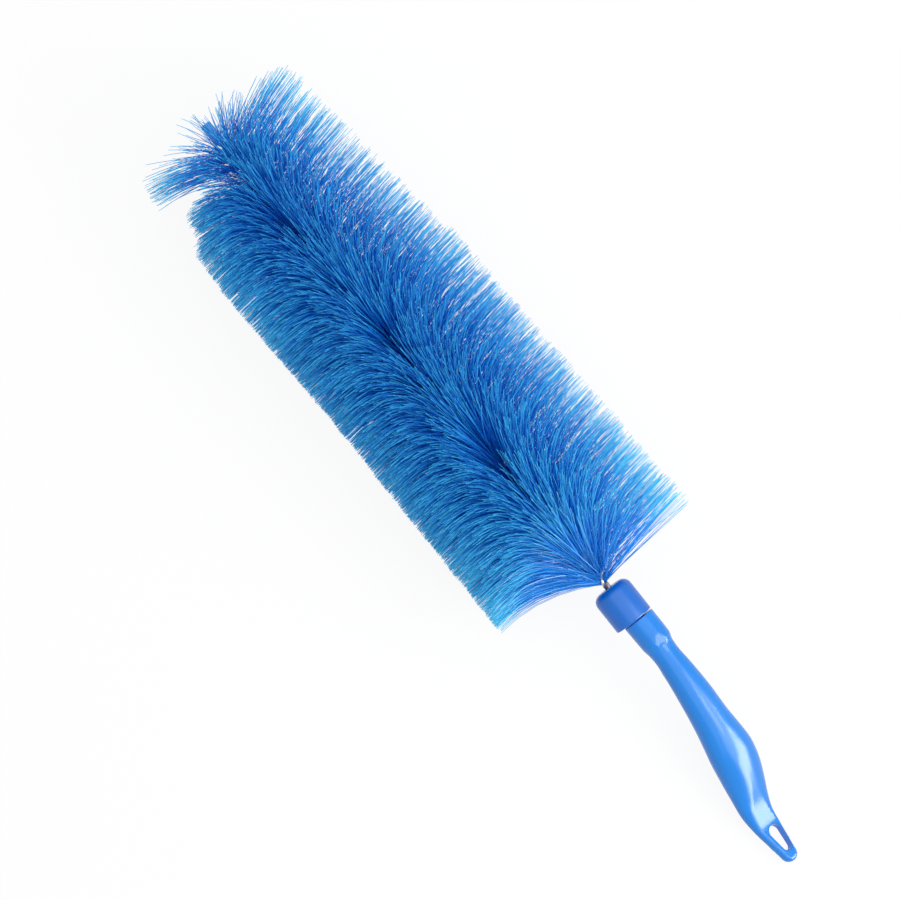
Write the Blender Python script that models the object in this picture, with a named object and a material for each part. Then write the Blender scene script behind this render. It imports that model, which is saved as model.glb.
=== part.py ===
"""Ceiling fan brush: a long twisted-in-wire brush head, screwed by its collar to a moulded handle.

The brush lies on a table, on its bristles and the end of its hang loop. +X runs along the collar's
axis from the head's tip to the handle's end, dipping a little, and +Z is up. The origin is on the
table, under the middle of the brush. All sizes are in metres.

Run it with blender --background --python part.py, or from Blender's text editor.
"""

import math
import random

import bmesh
import bpy
from mathutils import Matrix, Vector

# How the brush lies
REST_PITCH = math.radians(2.0)
HEAD_LEAN = math.radians(2.6)
HANDLE_ROLL = math.radians(30.0)

# Clearances, and how far a cutter runs past the face that it cuts
FIT_GAP = 0.0003
STEM_CLEARANCE = 0.0005
SPIGOT_END_PLAY = 0.0012
CUT_OVERRUN = 0.001

# Collar
COLLAR_RADIUS = 0.01375
COLLAR_LENGTH = 0.027
COLLAR_WALL = 0.003
COLLAR_WEB = 0.003
COLLAR_ROUND = 0.006
COLLAR_RIM_CHAMFER = 0.0005

# Stem anchor, the disc under the collar's crown that the wires' feet pull against
ANCHOR_RADIUS = 0.0077
ANCHOR_HEIGHT = 0.0062
ANCHOR_COUNTERSINK = 0.0009
ANCHOR_EDGE = 0.0004

# Core wires, and the packed filament roots between them
WIRE_RADIUS = 0.001
TWIST_PITCH = 0.016
FOOT_BEND_RADIUS = 0.0024
FOOT_REACH = 0.007
ROOT_THICKNESS = 0.0005

# Head, measured from the collar's crown
HEAD_LENGTH = 0.401
BARE_STEM = 0.006
BARE_TIP = 0.005
BRISTLE_NODES = 17
POSITIONS_PER_NODE = 10
BASE_REACH = 0.0725
MIDDLE_REACH = 0.0705
TIP_REACH = 0.063
LEAN_LEFT = 0.023
LEAN_RIGHT = 0.008
LEAN_TOP = 0.045
LEAN_UNDER = 0.026
TIP_LEAN_LEFT = 0.020
TIP_LEAN_RIGHT = 0.020
TIP_LEAN_TOP = 0.036
TIP_LEAN_UNDER = 0.024
STRAND_HALF_THICKNESS = 0.00055
FLOOR_CUT = 0.0005

# Cap over the wires' ends
CAP_LENGTH = 0.016
CAP_WALL = 0.0007
CAP_END_WALL = 0.0015

# Handle
GRIP_LENGTH = 0.1915
NECK_RADIUS = 0.0111
PALM_HALF_WIDTH = 0.0169
PALM_HALF_THICKNESS = 0.0135
LOOP_HALF_WIDTH = 0.0096
LOOP_HALF_THICKNESS = 0.0036
LOOP_EDGE_ROUND = 0.0018
BEND_ASIDE = 0.0183
BEND_DROP = 0.0318
HOLE_LENGTH = 0.0202
HOLE_END_MARGIN = 0.0074
HOLE_WIDE_RADIUS = 0.0051
HOLE_NARROW_RADIUS = 0.0037
HOLE_SIDE_SHIFT = 0.0014
HOLE_CHAMFER = 0.0006
SPIGOT_CHAMFER = 0.0008
SPIGOT_ROOT = 0.0025
CORE_RADIUS = 0.005
CORE_DEPTH_PAST_RIM = 0.012

# Facets
COLLAR_FACETS = 44
SMALL_FACETS = 24
ARC_STEPS = 5
RINGS_PER_ROW = 3
QUARTER_STEPS = 4
SHARP_ANGLE = math.radians(35.0)
WELD_SHARE = 0.01

# A strand's rings: how far along its reach, and how thick against its named thickness
STRAND_RING_SHARES = ((0.3, 1.0), (0.68, 0.8))
STRIP_EDGE_SHARE = 0.75
BLUNT_END_SHARE = 0.65
TOP_REACH_SHARE = 0.86
TIP_LEAN_START_SHARE = 0.8
PRESSED_LEAN_SHARE = 0.4
REACH_JITTER_SHARE = 0.03
LEAN_JITTER_SHARE = 0.05
TURN_JITTER = math.radians(5.0)
SEED = 7

# Sizes that follow from the named ones
BRISTLED_LENGTH = HEAD_LENGTH - BARE_STEM - BARE_TIP - CAP_LENGTH
CELL = BRISTLED_LENGTH / (BRISTLE_NODES * POSITIONS_PER_NODE)
HALF_TURN_PER_CELL = math.pi * CELL / TWIST_PITCH
WIRE_ORBIT = (ROOT_THICKNESS / 2 + FIT_GAP + WIRE_RADIUS) / math.cos(HALF_TURN_PER_CELL)
STEM_RADIUS = WIRE_ORBIT + WIRE_RADIUS
ROOT_HALF_WIDTH = STEM_RADIUS + FIT_GAP
WELD_DISTANCE = WELD_SHARE * FIT_GAP
SOCKET_RADIUS = COLLAR_RADIUS - COLLAR_WALL
SPIGOT_RADIUS = SOCKET_RADIUS - FIT_GAP
ANCHOR_START = COLLAR_WEB + FIT_GAP
ANCHOR_END = ANCHOR_START + ANCHOR_HEIGHT
SOCKET_FLOOR = ANCHOR_END + FIT_GAP
SPIGOT_LENGTH = COLLAR_LENGTH - SOCKET_FLOOR - SPIGOT_END_PLAY
FOOT_HEIGHT = ANCHOR_END - FIT_GAP - WIRE_RADIUS
FOOT_START = FOOT_HEIGHT - FOOT_BEND_RADIUS
NECK_OFFSET = COLLAR_RADIUS - NECK_RADIUS

# The grip from the neck to the loop: place along it as a share of its length, half width, half
# thickness, shares of the bend aside and of the drop, and how square the section is, from 0 for an
# ellipse to 1
GRIP_SECTION_SHARES = (
    (0.000, 1.00 * NECK_RADIUS, 1.00 * NECK_RADIUS, 0.000, 0.000, 0.0),
    (0.076, 0.99 * NECK_RADIUS, 0.99 * NECK_RADIUS, 0.000, 0.000, 0.0),
    (0.126, 0.86 * NECK_RADIUS, 0.85 * NECK_RADIUS, 0.004, 0.008, 0.0),
    (0.161, 0.83 * NECK_RADIUS, 0.82 * NECK_RADIUS, 0.008, 0.020, 0.0),
    (0.228, 0.61 * PALM_HALF_WIDTH, 0.71 * PALM_HALF_THICKNESS, 0.024, 0.055, 0.0),
    (0.331, 0.71 * PALM_HALF_WIDTH, 0.81 * PALM_HALF_THICKNESS, 0.085, 0.160, 0.0),
    (0.434, 0.79 * PALM_HALF_WIDTH, 0.90 * PALM_HALF_THICKNESS, 0.195, 0.305, 0.0),
    (0.501, 0.895 * PALM_HALF_WIDTH, 0.97 * PALM_HALF_THICKNESS, 0.265, 0.415, 0.0),
    (0.577, 1.00 * PALM_HALF_WIDTH, 1.00 * PALM_HALF_THICKNESS, 0.363, 0.550, 0.0),
    (0.638, 0.975 * PALM_HALF_WIDTH, 0.92 * PALM_HALF_THICKNESS, 0.493, 0.665, 0.05),
    (0.706, 0.87 * PALM_HALF_WIDTH, 0.72 * PALM_HALF_THICKNESS, 0.693, 0.800, 0.2),
    (0.774, 0.73 * PALM_HALF_WIDTH, 0.46 * PALM_HALF_THICKNESS, 0.910, 0.930, 0.6),
    (0.820, 1.08 * LOOP_HALF_WIDTH, 1.00 * LOOP_HALF_THICKNESS, 1.000, 1.000, 1.0),
    (0.909, 0.81 * LOOP_HALF_WIDTH, 1.00 * LOOP_HALF_THICKNESS, 1.000, 1.000, 1.0),
    (0.966, 0.62 * LOOP_HALF_WIDTH, 1.00 * LOOP_HALF_THICKNESS, 1.000, 1.000, 1.0),
)
LOOP_END_ANGLES = tuple(math.radians(angle) for angle in (30.0, 54.0, 71.0, 83.0))

# Looks: colour, roughness, metallic
HANDLE_LOOK = ((0.045, 0.262, 0.807, 1.0), 0.28, 0.0)
COLLAR_LOOK = ((0.028, 0.165, 0.640, 1.0), 0.30, 0.0)
CAP_LOOK = ((0.010, 0.120, 0.560, 1.0), 0.35, 0.0)
BRISTLE_LOOK = ((0.010, 0.120, 0.560, 1.0), 0.40, 0.0)
ANCHOR_LOOK = ((0.320, 0.330, 0.340, 1.0), 0.50, 0.0)
WIRE_LOOK = ((0.300, 0.290, 0.275, 1.0), 0.35, 1.0)


def clear_scene():
    for item in list(bpy.data.objects):
        bpy.data.objects.remove(item, do_unlink=True)


def finish(name, look):
    """A plain material of its own for one piece."""
    colour, roughness, metallic = look
    material = bpy.data.materials.new(name)
    material.use_nodes = True
    shader = material.node_tree.nodes["Principled BSDF"]
    shader.inputs["Base Color"].default_value = colour
    shader.inputs["Roughness"].default_value = roughness
    shader.inputs["Metallic"].default_value = metallic
    return material


def empty(name, parent=None, location=(0, 0, 0), rotation=(0, 0, 0)):
    item = bpy.data.objects.new(name, None)
    item.parent = parent
    item.location = location
    item.rotation_euler = rotation
    bpy.context.scene.collection.objects.link(item)
    return item


def place(item, parent, material=None):
    """Link an object under its parent, and give it its material."""
    item.parent = parent
    if material:
        item.data.materials.append(material)
    bpy.context.scene.collection.objects.link(item)
    return item


def solid(name, bm):
    """An object from a bmesh, shaded smooth apart from its sharp edges."""
    bmesh.ops.recalc_face_normals(bm, faces=bm.faces)
    mesh = bpy.data.meshes.new(name)
    bm.to_mesh(mesh)
    bm.free()
    mesh.shade_smooth()
    mesh.set_sharp_from_angle(angle=SHARP_ANGLE)
    return bpy.data.objects.new(name, mesh)


def boolean(target, operation, tool):
    modifier = target.modifiers.new(tool.name, "BOOLEAN")
    modifier.operation = operation
    modifier.solver = "EXACT"
    modifier.object = tool
    tool.hide_render = True
    tool.display_type = "WIRE"


def arc(centre, radius, start, end, steps=ARC_STEPS):
    """Points (x, r) of a profile's arc, with angles in degrees from +X towards +r."""
    angles = [math.radians(start + (end - start) * step / steps) for step in range(steps + 1)]
    return [(centre[0] + radius * math.cos(a), centre[1] + radius * math.sin(a)) for a in angles]


def turned(name, profile, facets):
    """A body turned about the X axis from points (x, r). A profile that starts and ends on the
    axis is left open there, and any other is closed."""
    bm = bmesh.new()
    verts = [bm.verts.new((x, r, 0)) for x, r in profile]
    for first, second in zip(verts, verts[1:], strict=False):
        bm.edges.new((first, second))
    if profile[0][1] > 0:
        bm.edges.new((verts[-1], verts[0]))
    bmesh.ops.spin(
        bm,
        geom=bm.verts[:] + bm.edges[:],
        cent=(0, 0, 0),
        axis=(1, 0, 0),
        angle=math.tau,
        steps=facets,
        use_merge=True,
    )
    bmesh.ops.remove_doubles(bm, verts=bm.verts, dist=WELD_DISTANCE)
    return solid(name, bm)


def loft(rings):
    """A closed bmesh through rings of as many points each."""
    bm = bmesh.new()
    face = bm.faces.new([bm.verts.new(point) for point in rings[0]])
    for ring in rings[1:]:
        face = bmesh.ops.extrude_discrete_faces(bm, faces=[face])["faces"][0]
        for vert, point in zip(face.verts, ring, strict=True):
            vert.co = point
    bmesh.ops.holes_fill(bm, edges=[edge for edge in bm.edges if edge.is_boundary])
    return bm


def smooth_value(table, column, along):
    """One column of a table at a place along it, on a curve that never overshoots its rows."""

    def slope(row):
        return (table[row + 1][column] - table[row][column]) / (table[row + 1][0] - table[row][0])

    def tangent(row):
        if row in (0, len(table) - 1):
            return slope(min(row, len(table) - 2))
        before, after = slope(row - 1), slope(row)
        return 2 * before * after / (before + after) if before * after > 0 else 0

    row = max(index for index in range(len(table) - 1) if table[index][0] <= along)
    span = table[row + 1][0] - table[row][0]
    t = (along - table[row][0]) / span
    start, end = table[row][column], table[row + 1][column]
    return (
        start * (1 + 2 * t) * (1 - t) ** 2
        + span * tangent(row) * t * (1 - t) ** 2
        + end * t * t * (3 - 2 * t)
        - span * tangent(row + 1) * t * t * (1 - t)
    )


def section_point(width, thickness):
    """A point of the handle's section, in the plane across the collar's axis."""
    across = Vector((0, math.cos(HANDLE_ROLL), -math.sin(HANDLE_ROLL)))
    through = Vector((0, math.sin(HANDLE_ROLL), math.cos(HANDLE_ROLL)))
    return Vector((0, NECK_OFFSET, 0)) + across * width + through * thickness


def half_section(half_width, half_thickness, edge_round, squareness):
    """One side of the handle's section, from its underside round to its top."""
    points = []
    steps = 2 * QUARTER_STEPS + 3
    for index in range(steps):
        turn = math.pi * ((index + 0.5) / steps - 0.5)
        oval = (half_width * math.cos(turn), half_thickness * math.sin(turn))
        middle = index - QUARTER_STEPS - 1
        quarter = math.pi / 2 * (abs(middle) - 1) / QUARTER_STEPS
        side = math.copysign(1, middle)
        square = (
            half_width - edge_round * (1 - math.cos(quarter)),
            side * (half_thickness - edge_round * (1 - math.sin(quarter))),
        )
        if middle == 0:
            square = (half_width, 0)
        points.append([o + squareness * (s - o) for o, s in zip(oval, square, strict=True)])
    return points


def grip_ring(along, half_width, half_thickness, aside_share, drop_share, squareness):
    edge_round = min(LOOP_EDGE_ROUND, half_width, half_thickness)
    side = half_section(half_width, half_thickness, edge_round, squareness)
    around = side + [(-width, thickness) for width, thickness in reversed(side)]
    place = Vector((along, -aside_share * BEND_ASIDE, -drop_share * BEND_DROP))
    return [section_point(width, thickness) + place for width, thickness in around]


def grip_rings():
    """The grip's sections from the neck's end face to the round end of the loop."""
    last = GRIP_SECTION_SHARES[-1]
    places = []
    for row, after in zip(GRIP_SECTION_SHARES, GRIP_SECTION_SHARES[1:], strict=False):
        places += [row[0] + (after[0] - row[0]) * step / RINGS_PER_ROW for step in range(RINGS_PER_ROW)]
    rings = []
    for share in (*places, last[0]):
        section = [smooth_value(GRIP_SECTION_SHARES, column, share) for column in range(1, 6)]
        rings.append(grip_ring(max(share * GRIP_LENGTH, FIT_GAP), *section))
    straight_end = last[0] * GRIP_LENGTH
    for angle in LOOP_END_ANGLES:
        along = straight_end + (GRIP_LENGTH - straight_end) * math.sin(angle)
        edge = min(GRIP_LENGTH - along, LOOP_EDGE_ROUND)
        fall = LOOP_EDGE_ROUND - math.sqrt(LOOP_EDGE_ROUND**2 - (LOOP_EDGE_ROUND - edge) ** 2)
        rings.append(grip_ring(along, last[1] * math.cos(angle), last[2] - fall, *last[3:]))
    return rings


def hole_cutter():
    """A slot that narrows towards the loop's end, flared where it meets both faces."""
    narrow_centre = GRIP_LENGTH - HOLE_END_MARGIN - HOLE_NARROW_RADIUS
    wide_centre = GRIP_LENGTH - HOLE_END_MARGIN - HOLE_LENGTH + HOLE_WIDE_RADIUS
    steps = 2 * ARC_STEPS
    rings = []
    for side in (-1, 1):
        for inset in (-CUT_OVERRUN, HOLE_CHAMFER):
            level = side * (LOOP_HALF_THICKNESS - inset)
            flare = max(HOLE_CHAMFER - inset, 0)
            ring = []
            for centre, radius, start in (
                (narrow_centre, HOLE_NARROW_RADIUS, -math.pi / 2),
                (wide_centre, HOLE_WIDE_RADIUS, math.pi / 2),
            ):
                for step in range(steps + 1):
                    angle = start + math.pi * step / steps
                    width = HOLE_SIDE_SHIFT + (radius + flare) * math.sin(angle)
                    along = centre + (radius + flare) * math.cos(angle)
                    ring.append(section_point(width, level) + Vector((along, -BEND_ASIDE, -BEND_DROP)))
            rings.append(ring)
    rings[2], rings[3] = rings[3], rings[2]
    return solid("hang_hole_cutter", loft(rings))


def make_handle(parent):
    """The moulded grip: neck, palm swell and hang loop, with the spigot that the collar screws on."""
    handle = place(solid("handle", loft(grip_rings())), parent, finish("handle", HANDLE_LOOK))
    spigot_profile = [
        (-SPIGOT_LENGTH, 0),
        (-SPIGOT_LENGTH, SPIGOT_RADIUS - SPIGOT_CHAMFER),
        (SPIGOT_CHAMFER - SPIGOT_LENGTH, SPIGOT_RADIUS),
        (FIT_GAP, SPIGOT_RADIUS),
        (FIT_GAP + SPIGOT_ROOT, SPIGOT_RADIUS - SPIGOT_ROOT),
        (FIT_GAP + SPIGOT_ROOT, 0),
    ]
    core_profile = [
        (-SPIGOT_LENGTH - CUT_OVERRUN, 0),
        (-SPIGOT_LENGTH - CUT_OVERRUN, CORE_RADIUS),
        (CORE_DEPTH_PAST_RIM, CORE_RADIUS),
        (CORE_DEPTH_PAST_RIM, 0),
    ]
    boolean(handle, "UNION", place(turned("spigot_blank", spigot_profile, COLLAR_FACETS), parent))
    boolean(handle, "DIFFERENCE", place(turned("core_cutter", core_profile, SMALL_FACETS), parent))
    boolean(handle, "DIFFERENCE", place(hole_cutter(), parent))
    return handle


def make_collar(parent):
    """The cap with its socket. Its origin is at its crown."""
    stem_hole = STEM_RADIUS + STEM_CLEARANCE
    chamber = ANCHOR_RADIUS + FIT_GAP
    profile = [(0, stem_hole)]
    profile += arc((COLLAR_ROUND, COLLAR_RADIUS - COLLAR_ROUND), COLLAR_ROUND, 180, 90)
    profile += [
        (COLLAR_LENGTH - COLLAR_RIM_CHAMFER, COLLAR_RADIUS),
        (COLLAR_LENGTH, COLLAR_RADIUS - COLLAR_RIM_CHAMFER),
        (COLLAR_LENGTH, SOCKET_RADIUS + COLLAR_RIM_CHAMFER),
        (COLLAR_LENGTH - COLLAR_RIM_CHAMFER, SOCKET_RADIUS),
        (SOCKET_FLOOR, SOCKET_RADIUS),
        (SOCKET_FLOOR, chamber),
        (COLLAR_WEB, chamber),
        (COLLAR_WEB, stem_hole),
    ]
    return place(turned("collar", profile, COLLAR_FACETS), parent, finish("collar", COLLAR_LOOK))


def make_anchor(parent):
    """The disc under the crown, with a groove across it for the wires' bent feet."""
    bore = STEM_RADIUS + FIT_GAP
    groove_floor = FOOT_HEIGHT - WIRE_RADIUS - FIT_GAP
    profile = [
        (ANCHOR_START, bore),
        (groove_floor - ANCHOR_COUNTERSINK, bore),
        (groove_floor, bore + ANCHOR_COUNTERSINK),
        (ANCHOR_END, bore + ANCHOR_COUNTERSINK),
        (ANCHOR_END, ANCHOR_RADIUS - ANCHOR_EDGE),
        (ANCHOR_END - ANCHOR_EDGE, ANCHOR_RADIUS),
        (ANCHOR_START + ANCHOR_EDGE, ANCHOR_RADIUS),
        (ANCHOR_START, ANCHOR_RADIUS - ANCHOR_EDGE),
    ]
    disc = turned("stem_anchor", profile, COLLAR_FACETS)
    anchor = place(disc, parent, finish("stem_anchor", ANCHOR_LOOK))
    bm = bmesh.new()
    size = (
        ANCHOR_END + CUT_OVERRUN - groove_floor,
        2 * (ANCHOR_RADIUS + CUT_OVERRUN),
        2 * (WIRE_RADIUS + FIT_GAP),
    )
    centre = Vector((groove_floor + size[0] / 2, 0, 0))
    bmesh.ops.create_cube(bm, size=1, matrix=Matrix.Translation(centre) @ Matrix.Diagonal((*size, 1)))
    boolean(anchor, "DIFFERENCE", place(solid("foot_groove_cutter", bm), parent))
    return anchor


def twist(along):
    """How far the wires have turned, at a place along the stem. The feet lie along Y."""
    return math.tau * (along - FOOT_START) / TWIST_PITCH


def wire_route(side):
    """One wire's centre line, from the cap to its foot, as points from the collar's crown."""
    points = []
    wire_end = CAP_END_WALL + FIT_GAP + WIRE_RADIUS - HEAD_LENGTH
    farthest = BRISTLE_NODES * POSITIONS_PER_NODE + math.ceil(CAP_LENGTH / CELL)
    places = [-BARE_STEM - CELL * station for station in range(farthest, -POSITIONS_PER_NODE, -1)]
    between = [along for along in places if wire_end + CELL / 2 < along < FOOT_START - CELL / 2]
    for along in (wire_end, *between, FOOT_START):
        y = side * WIRE_ORBIT * math.cos(twist(along))
        z = side * WIRE_ORBIT * math.sin(twist(along))
        point = Vector((along, y, z))
        points.append(Matrix.Rotation(HEAD_LEAN, 3, "Z") @ point if along < 0 else point)
    for step in range(1, ARC_STEPS):
        angle = math.pi / 2 * step / (ARC_STEPS - 1)
        outward = WIRE_ORBIT + FOOT_BEND_RADIUS * (1 - math.cos(angle))
        points.append(Vector((FOOT_START + FOOT_BEND_RADIUS * math.sin(angle), side * outward, 0)))
    points.append(Vector((FOOT_HEIGHT, side * FOOT_REACH, 0)))
    return points


def make_wire(name, side, parent):
    curve = bpy.data.curves.new(name, "CURVE")
    curve.dimensions = "3D"
    curve.bevel_depth = WIRE_RADIUS
    curve.bevel_resolution = 1
    curve.use_fill_caps = True
    spline = curve.splines.new("POLY")
    route = wire_route(side)
    spline.points.add(len(route) - 1)
    for knot, point in zip(spline.points, route, strict=True):
        knot.co = (*point, 1)
    return place(bpy.data.objects.new(name, curve), parent, finish(name, WIRE_LOOK))


def make_cap(parent):
    """The moulded cap over the wires' ends, domed outside and bored inside."""
    radius = STEM_RADIUS + FIT_GAP + CAP_WALL
    mouth = CAP_LENGTH - HEAD_LENGTH
    bore_end = CAP_END_WALL - HEAD_LENGTH
    profile = arc((radius - HEAD_LENGTH, 0), radius, 180, 90)
    profile += [
        (mouth - CAP_WALL / 2, radius),
        (mouth, radius - CAP_WALL / 2),
        (mouth, radius - CAP_WALL),
        (bore_end, radius - CAP_WALL),
        (bore_end, 0),
    ]
    profile[0] = (-HEAD_LENGTH, 0)
    return place(turned("tip_cap", profile, SMALL_FACETS), parent, finish("tip_cap", CAP_LOOK))


def root_ring(along):
    """The section of the packed roots: a thin strip across the stem, square to the wires' line."""
    wide = Vector((0, -math.sin(twist(along)), math.cos(twist(along)))) * ROOT_HALF_WIDTH
    thin = Vector((0, math.cos(twist(along)), math.sin(twist(along)))) * ROOT_THICKNESS / 2
    centre = Vector((along, 0, 0))
    corners = (wide + thin, thin, thin - wide, -wide - thin, -thin, wide - thin)
    return [centre + corner for corner in corners]


def head_reach(share):
    """The bristles' length at a share of the bristled stretch, from the collar to the tip."""
    bulge = 4 * MIDDLE_REACH - 2 * (BASE_REACH + TIP_REACH)
    return BASE_REACH + (TIP_REACH - BASE_REACH) * share + bulge * share * (1 - share)


def head_lean(share, outward, rise):
    """How far towards the tip a strand leans: least on the right, more on the left and underneath,
    and most on top. At the tip all sides lean more alike."""
    rightward = (1 + outward.y) / 2

    def lean_round(left, right, top, under):
        side = left + (right - left) * rightward
        return side + ((top if rise > 0 else under) - side) * rise**2

    body = lean_round(LEAN_LEFT, LEAN_RIGHT, LEAN_TOP, LEAN_UNDER)
    tip = lean_round(TIP_LEAN_LEFT, TIP_LEAN_RIGHT, TIP_LEAN_TOP, TIP_LEAN_UNDER)
    near_tip = max(share - TIP_LEAN_START_SHARE, 0) / (1 - TIP_LEAN_START_SHARE)
    return body + (tip - body) * near_tip


def strand_shape(along, outward, to_world, rng):
    """The strand's reach and lean, shortened and swept where it meets the table."""
    share = (-along - BARE_STEM) / BRISTLED_LENGTH
    rise = (to_world.to_3x3() @ outward).z
    full = head_reach(share) * (1 + rng.uniform(-REACH_JITTER_SHARE, REACH_JITTER_SHARE))
    if rise > 0:
        full *= 1 - (1 - TOP_REACH_SHARE) * rise**2
    lean = head_lean(share, outward, rise) * (1 + rng.uniform(-LEAN_JITTER_SHARE, LEAN_JITTER_SHARE))
    tip_axis = to_world @ Vector((along - lean, 0, 0))
    floor_reach = (tip_axis.z + FLOOR_CUT) / -rise if rise < 0 else math.inf
    reach = min(full, floor_reach)
    return reach, lean + PRESSED_LEAN_SHARE * (full - reach), floor_reach < full


def grow_strand(bm, face, to_world, rng):
    """One strand out of an edge face of the packed roots. It leaves the stem leaning towards the
    tip, and curves until it stands square to the stem."""
    foot = face.calc_center_median()
    turn = math.atan2(foot.z, foot.y) + rng.uniform(-TURN_JITTER, TURN_JITTER)
    outward = Vector((0, math.cos(turn), math.sin(turn)))
    across = Vector((0, -math.sin(turn), math.cos(turn)))
    reach, lean, pressed = strand_shape(foot.x, outward, to_world, rng)
    rings = list(STRAND_RING_SHARES) + ([(1.0, BLUNT_END_SHARE)] if pressed else [])
    centre = foot
    for share, thickness_share in rings:
        corners = []
        for vert in face.verts:
            aside = side_of_strip(vert.co, centre, across)
            corners.append((math.copysign(1, vert.co.x - centre.x), math.copysign(1, aside)))
        face = bmesh.ops.extrude_discrete_faces(bm, faces=[face])["faces"][0]
        centre = strand_centre(foot.x, outward, reach, lean, share)
        half = STRAND_HALF_THICKNESS * thickness_share
        for vert, (along, aside) in zip(face.verts, corners, strict=True):
            vert.co = centre + Vector((along * half, 0, 0)) + across * aside * half
    if not pressed:
        point = bmesh.ops.poke(bm, faces=[face])["verts"][0]
        point.co = strand_centre(foot.x, outward, reach, lean, 1)


def side_of_strip(point, centre, across):
    """Which face of the strip or strand a corner is on, as a signed distance. At the strip's edge
    the corners have turned with the twist, so each is measured across the strip at its own place."""
    if centre.yz.length > ROOT_HALF_WIDTH:
        return (point - centre).dot(across)
    outward = Vector((0, -math.sin(twist(point.x)), math.cos(twist(point.x))))
    aside = Vector((0, math.cos(twist(point.x)), math.sin(twist(point.x))))
    return point.dot(aside) * math.copysign(1, -point.dot(outward))


def strand_centre(foot, outward, reach, lean, share):
    swept = lean * (1 - (1 - share) ** 2)
    radius = ROOT_HALF_WIDTH + (reach - ROOT_HALF_WIDTH) * share
    return Vector((foot - swept, 0, 0)) + outward * radius


def make_bristles(number, parent, rng):
    """One length of the head: its packed roots, and the strands that stand out of both edges."""
    name = f"bristles_{number:02d}"
    first = (number - 1) * POSITIONS_PER_NODE
    places = [-BARE_STEM - CELL * (first + step) for step in range(POSITIONS_PER_NODE + 1)]
    places[0] -= FIT_GAP / 2
    places[-1] += FIT_GAP / 2
    bm = loft([root_ring(along) for along in places])
    edge = STRIP_EDGE_SHARE * ROOT_HALF_WIDTH
    edges = [face for face in bm.faces if face.calc_center_median().yz.length > edge]
    to_world = parent.matrix_world
    for face in edges:
        grow_strand(bm, face, to_world, rng)
    to_local = to_world.inverted()
    bmesh.ops.bisect_plane(
        bm,
        geom=bm.verts[:] + bm.edges[:] + bm.faces[:],
        plane_co=to_local @ Vector((0, 0, 0)),
        plane_no=to_local.to_3x3() @ Vector((0, 0, 1)),
        clear_inner=True,
    )
    bmesh.ops.holes_fill(bm, edges=[edge for edge in bm.edges if edge.is_boundary])
    return place(solid(name, bm), parent, finish(name, BRISTLE_LOOK))


def world_corners(items):
    """The lowest and highest corners of the shapes, as they are seen with their modifiers."""
    graph = bpy.context.evaluated_depsgraph_get()
    points = []
    for item in items:
        seen = item.evaluated_get(graph)
        mesh = seen.to_mesh()
        points += [seen.matrix_world @ vert.co for vert in mesh.vertices]
        seen.to_mesh_clear()
    return tuple(Vector(pick(point[axis] for point in points) for axis in range(3)) for pick in (min, max))


def main():
    clear_scene()
    brush = empty("brush", rotation=(0, REST_PITCH, 0))
    crown = empty("crown", brush, location=(-COLLAR_LENGTH, 0, 0))
    stem = empty("stem", crown, rotation=(0, 0, HEAD_LEAN))
    handle = make_handle(brush)
    bpy.context.view_layer.update()
    brush.location.z = -world_corners([handle])[0].z
    bpy.context.view_layer.update()
    pieces = [handle, make_collar(crown), make_anchor(crown), make_cap(stem)]
    pieces += [make_wire("core_wire_a", 1, crown), make_wire("core_wire_b", -1, crown)]
    rng = random.Random(SEED)
    pieces += [make_bristles(number, stem, rng) for number in range(1, BRISTLE_NODES + 1)]
    bpy.context.view_layer.update()
    low, high = world_corners(pieces)
    brush.location.xy -= (low + high).xy / 2
    bpy.context.view_layer.update()


main()
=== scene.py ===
"""Ceiling fan brush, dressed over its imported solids: filaments by the thousand on a twisted wire
stem, a moulded collar, tip cap and handle, and a pale studio floor.

It is laid out as an add-on with one operator for each piece, and is run as a script. All sizes are
in metres, in the frame of the model: +X runs from the head's tip to the handle's loop, and +Z is up.
"""

import math
from types import SimpleNamespace

import bmesh
import bpy
import numpy as np
from bpy.props import FloatProperty, FloatVectorProperty, IntProperty, PointerProperty
from mathutils import Matrix, Vector


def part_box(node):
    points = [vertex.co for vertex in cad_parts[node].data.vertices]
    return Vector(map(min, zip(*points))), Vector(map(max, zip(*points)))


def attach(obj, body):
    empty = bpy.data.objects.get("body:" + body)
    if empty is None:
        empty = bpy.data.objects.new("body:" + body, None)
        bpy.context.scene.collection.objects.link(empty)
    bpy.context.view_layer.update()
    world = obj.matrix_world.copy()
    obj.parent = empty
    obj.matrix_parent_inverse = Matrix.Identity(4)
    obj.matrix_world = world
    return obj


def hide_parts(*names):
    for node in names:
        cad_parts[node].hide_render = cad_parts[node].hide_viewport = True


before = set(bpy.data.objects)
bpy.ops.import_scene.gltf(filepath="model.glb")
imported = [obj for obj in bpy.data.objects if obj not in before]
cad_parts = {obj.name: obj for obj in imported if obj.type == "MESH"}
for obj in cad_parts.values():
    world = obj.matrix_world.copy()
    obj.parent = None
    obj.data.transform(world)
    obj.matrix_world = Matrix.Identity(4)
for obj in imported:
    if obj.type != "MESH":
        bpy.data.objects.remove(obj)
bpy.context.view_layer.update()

bl_info = {
    "name": "Ceiling Fan Brush",
    "version": (1, 0, 0),
    "blender": (4, 5, 0),
    "location": "View3D > Sidebar > Fan Brush",
    "description": "Dresses a ceiling fan brush, piece by piece, and sets its stage",
    "category": "Add Mesh",
}

# How the brush lies: the middle of the collar's rim, its pitch, and how its head and handle turn
RIM_CENTRE = Vector((0.123811, 0.005390, 0.044913))
REST_PITCH = math.radians(2.0)
HEAD_LEAN = math.radians(2.6)
HANDLE_ROLL = math.radians(30.0)

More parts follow.
